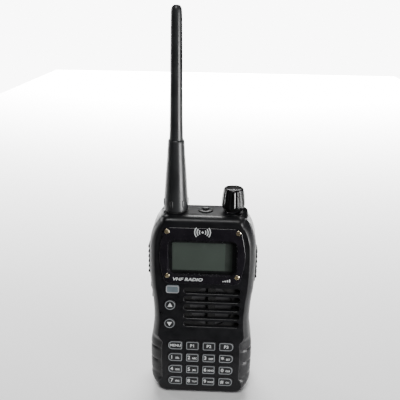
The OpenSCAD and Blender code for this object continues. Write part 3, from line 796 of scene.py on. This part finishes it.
def antenna():
    r0 = 6.45
    z0, seam, tip = boot_low[2], boot_high[2], whip_high[2]
    profile = [(4.7, z0), (r0 - 0.25, z0), (r0, z0 + 0.3), (r0, z0 + 3), (r0 - 0.22, z0 + 7),
               (r0 - 0.7, z0 + 14), (5.33, z0 + 21), (4.72, z0 + 29.5), (4.3, seam - 1.0),
               (4.12, seam - 0.3), (3.85, seam - 0.05), (3.5, seam)]
    foot, sleeve = profile[:3], profile[2:9]
    line = foot[:-1] + smooth_line(sleeve, 6) + profile[9:]
    turned = lathe(line, ANTENNA_X, Y_TOP, 96)
    ob = piece("boot", turned, ANTENNA, "antenna", ("antenna_boot",))
    carve(ob, [tool(lathe([(4.6, z0 - 1), (4.6, z0 + 8.5)], ANTENNA_X, Y_TOP, 64))])
    ribs = bmesh.new()
    for k in range(6):
        a = math.radians(12 + 60 * k)
        rib = lid(rounded(0, 0, 1.7, 3.9, 0.8, 0.8), -0.32, 0.5, edge=0.3, steps=3)
        place = (Matrix.Translation((ANTENNA_X, Y_TOP, z0 + 4.35))
                 @ Matrix.Rotation(a + math.pi / 2, 4, "Z") @ Matrix.Translation((0, -(r0 - 0.1), 0)))
        bmesh.ops.transform(rib, matrix=place, verts=rib.verts)
        merge(ribs, rib)
    piece("boot_ribs", ribs, ANTENNA, "antenna")
    top = [(0.3, seam - 0.4), (3.2, seam - 0.4), (3.55, seam - 0.1), (3.58, seam + 0.4),
           (3.42, seam + 6), (3.28, seam + 14), (3.15, seam + 30), (3.0, seam + 46), (2.86, tip - 7),
           (2.74, tip - 3), (2.5, tip - 1.6), (2.0, tip - 0.65), (1.2, tip - 0.15), (0.2, tip)]
    line = top[:3] + smooth_line(top[3:], 6)
    turned = lathe(line, ANTENNA_X, Y_TOP, 72)
    piece("whip", turned, ANTENNA, "antenna", ("antenna_whip",))
    seal = lathe([(3.2, BODY_H), (6.1, BODY_H), (6.25, BODY_H + 0.12), (6.1, BODY_H + 0.4),
                  (3.2, BODY_H + 0.4)], ANTENNA_X, Y_TOP, 72)
    piece("antenna_seal", seal, RUBBER, RADIO)


def status_lamp():
    z = BODY_H
    profile = [(1.9, z - 7), (1.92, z - 0.02), (3.7, z), (3.9, z + 0.12), (3.88, z + 0.4),
               (3.7, z + 0.62), (3.4, z + 0.73), (2.1, z + 0.77), (1.97, z + 0.86), (1.9, z + 1.1),
               (1.72, z + 1.45), (1.35, z + 1.75), (0.8, z + 1.93), (0.1, z + 1.99)]
    piece("lamp", lathe(profile, LAMP_X, Y_TOP, 64), LAMP, RADIO, ("status_lamp",))


# ---- Speaker cloth ------------------------------------------------------------------------


def speaker_cloth():
    """Woven cloth behind the slots, open over the cone, with one upright bar across the opening."""
    x, z = SPEAKER
    y0, y1 = Y_WALL + 0.02, Y_WALL + 0.3
    cloth = lid(rounded(x, z, SLOT[0] + 2, 25.6, 3, 3), y0, y1, edge=0.05, steps=1)
    ob = piece("cloth", cloth, CLOTH, RADIO)
    carve(ob, [tool(prism(arc(x, z, 11.9, 0, 352.5, 47), y0 - 1, y1 + 1))])
    bar = lid(rounded(x, z, 4.2, 25, 0.5, 0.5), y0, y1, edge=0.05, steps=1)
    piece("cloth_bar", bar, CLOTH, RADIO)


# ---- Back: chassis and battery ------------------------------------------------------------


def half_width(z):
    """Half the width of the case at a height, between the points of SIDE."""
    for (z0, w0), (z1, w1) in zip(SIDE, SIDE[1:]):
        if z <= z1:
            return w0 + (w1 - w0) * (z - z0) / (z1 - z0)
    return SIDE[-1][1]


def pack_outline(d):
    """Outline of the battery pack taken in by d, with rounded lower and upper corners."""
    low, high = PACK_Z0 + d, PACK_Z1 - d
    r = BASE_R - 1 - d
    start = -math.degrees(math.asin((BASE_R - low) / r))
    half = [(12, low)] + arc(SIDE[0][1] - BASE_R, BASE_R, r, start, 0, 12)
    top_r = 3.6 - 0.8 * d
    top = high - top_r
    half += [(half_width(z) - 1 - d, z)
             for z in (BASE_R + (top - BASE_R) * k / 40 for k in range(1, 41))]
    half += arc(half_width(top) - 1 - d - top_r, top, top_r, 0, 90, 8)[1:]
    return half + [(-x, z) for x, z in reversed(half)]


def battery():
    """Rounded back cover with shallow grip lines and a label recess, reaching forward to the tray."""
    edge = 3.0
    rings = []
    for k in range(9):
        a = math.radians(90 * k / 8)
        depth = PACK_Y1 - edge * (1 - math.cos(a))
        rings.append(at_depth(pack_outline(edge * (1 - math.sin(a))), depth))
    rings += [at_depth(pack_outline(d), y) for d, y in ((0, TRAY_Y1 + 0.35), (0.3, TRAY_Y1))]
    ob = piece("pack_cover", solid_between(rings), PACK, "battery", ("battery_cover",))
    cutters = []
    for k in range(6):
        groove = rounded(0, 12 + 3.6 * k, 40, 1.3, 0.6, 0.6)
        cutters.append(tool(prism(groove, PACK_Y1 - 0.5, PACK_Y1 + 1)))
    cutters.append(tool(prism(rounded(0, 38.5, 30, 10, 1.5, 1.5), PACK_Y1 - 0.25, PACK_Y1 + 1)))
    carve(ob, cutters)
    soften(ob, 0.12, 2, 40)


# ---- CAD pieces that stay, with better finishes --------------------------------------------

KEPT = {
    "case_seal": RUBBER, "rear_chassis": CHASSIS, "case_screws": STEEL, "display_holder": WHITE,
    "speaker": CONE,
    "microphone": STEEL, "keypad_mat": GREY_RUBBER, "main_board": BOARD, "board_screws": STEEL,
    "shield_cans": STEEL, "audio_jack_block": RUBBER, "volume_control": STEEL, "antenna_jack": GOLD,
    "side_switch_board": BOARD, "ptt_pin": STEEL, "battery_terminals": GOLD, "ptt_button": RUBBER,
    "jack_cover": RUBBER, "control_shaft": STEEL, "antenna_plug": GOLD, "battery_tray": PACK,
    "battery_cells": CELL, "battery_contacts": GOLD, "battery_latch": CASE, "clip_base": CASE,
    "belt_clip": CASE, "clip_pin": STEEL, "clip_spring": STEEL, "clip_screws": STEEL,
    "side_key_upper": RUBBER, "side_key_lower": RUBBER}
SOFT_EDGES = {"ptt_button": 0.25, "jack_cover": 0.25, "side_key_upper": 0.35, "side_key_lower": 0.35,
              "battery_tray": 0.2, "belt_clip": 0.35, "clip_base": 0.3, "battery_latch": 0.15,
              "case_screws": 0.15, "clip_screws": 0.2, "audio_jack_block": 0.1, "rear_chassis": 0.1}


def dress_cad():
    for name, material in KEPT.items():
        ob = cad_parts[name]
        ob.data.materials.clear()
        ob.data.materials.append(material)
        if name in SOFT_EDGES:
            soften(ob, SOFT_EDGES[name], 2, 30)


# ---- Scene --------------------------------------------------------------------------------


def stage():
    bm = bmesh.new()
    corners = [(-FLOOR_HALF, FLOOR_FRONT, 0), (FLOOR_HALF, FLOOR_FRONT, 0), (FLOOR_HALF, FLOOR_BACK, 0),
               (-FLOOR_HALF, FLOOR_BACK, 0)]
    bm.faces.new([bm.verts.new(c) for c in corners])
    mesh = bpy.data.meshes.new("floor")
    bm.to_mesh(mesh)
    bm.free()
    floor = bpy.data.objects.new("floor", mesh)
    bpy.context.collection.objects.link(floor)
    mesh.materials.append(FLOOR)


def area(name, place, target, size, power, spread=180):
    light = bpy.data.lights.new(name, "AREA")
    light.shape = "RECTANGLE"
    light.size, light.size_y = size
    light.energy = power
    light.spread = math.radians(spread)
    ob = bpy.data.objects.new(name, light)
    ob.location = place
    ob.rotation_euler = (Vector(target) - Vector(place)).to_track_quat("-Z", "Y").to_euler()
    bpy.context.collection.objects.link(ob)


def lights():
    """White surroundings for the eye, dim ones for the reflections, and soft boxes for the shapes."""
    world = bpy.data.worlds.new("studio")
    world.use_nodes = True
    nodes, links = world.node_tree.nodes, world.node_tree.links
    seen = nodes["Background"]
    seen.inputs["Color"].default_value = (1, 1, 1, 1)
    seen.inputs["Strength"].default_value = 9
    dim = nodes.new("ShaderNodeBackground")
    dim.inputs["Color"].default_value = (1, 1, 1, 1)
    dim.inputs["Strength"].default_value = 0.04
    path = nodes.new("ShaderNodeLightPath")
    mix = nodes.new("ShaderNodeMixShader")
    links.new(path.outputs["Is Camera Ray"], mix.inputs[0])
    links.new(dim.outputs[0], mix.inputs[1])
    links.new(seen.outputs[0], mix.inputs[2])
    links.new(mix.outputs[0], nodes["World Output"].inputs["Surface"])
    bpy.context.scene.world = world
    area("floor_wash", (0, 1.6, 1.2), (0, 1.5, 0), (1.4, 1.2), 220, spread=97)
    area("right_box", (0.57, -0.36, 0.02), (0, 0, 0.02), (0.18, 0.30), 7)
    area("left_strip", (-0.5, 0.25, 0.1), (0, 0, 0.1), (0.06, 0.6), 1.8)
    area("front_box", (-0.1, -0.7, 1.1), (0, 0, 0.06), (0.4, 0.4), 8)


def camera():
    """Pinhole fitted to the view: 2.4 degrees to the side, 18.8 degrees down, rolled by 0.9."""
    data = bpy.data.cameras.new("camera")
    data.lens = 54
    data.sensor_width = 36
    data.clip_start = 0.01
    ob = bpy.data.objects.new("camera", data)
    yaw, pitch, roll = (math.radians(a) for a in (2.36, 18.79, 0.88))
    ahead = Vector((-math.sin(yaw) * math.cos(pitch), math.cos(yaw) * math.cos(pitch), -math.sin(pitch)))
    right = Vector((math.cos(yaw), math.sin(yaw), 0))
    up = right.cross(ahead)
    right_rolled = right * math.cos(roll) + up * math.sin(roll)
    up_rolled = up * math.cos(roll) - right * math.sin(roll)
    turn = Matrix((right_rolled, up_rolled, -ahead)).transposed()
    ob.matrix_world = Matrix.Translation(Vector((10.31, Y_FACE - 289.31, 215.50)) * MM) @ turn.to_4x4()
    bpy.context.collection.objects.link(ob)
    bpy.context.scene.camera = ob


camera()
stage()
lights()
front_housing()
knob_guard()
face_plate()
display()
plate_screws()
emblem()
for one in KEYS:
    key(*one)
volume_knob()
antenna()
status_lamp()
speaker_cloth()
battery()
dress_cad()
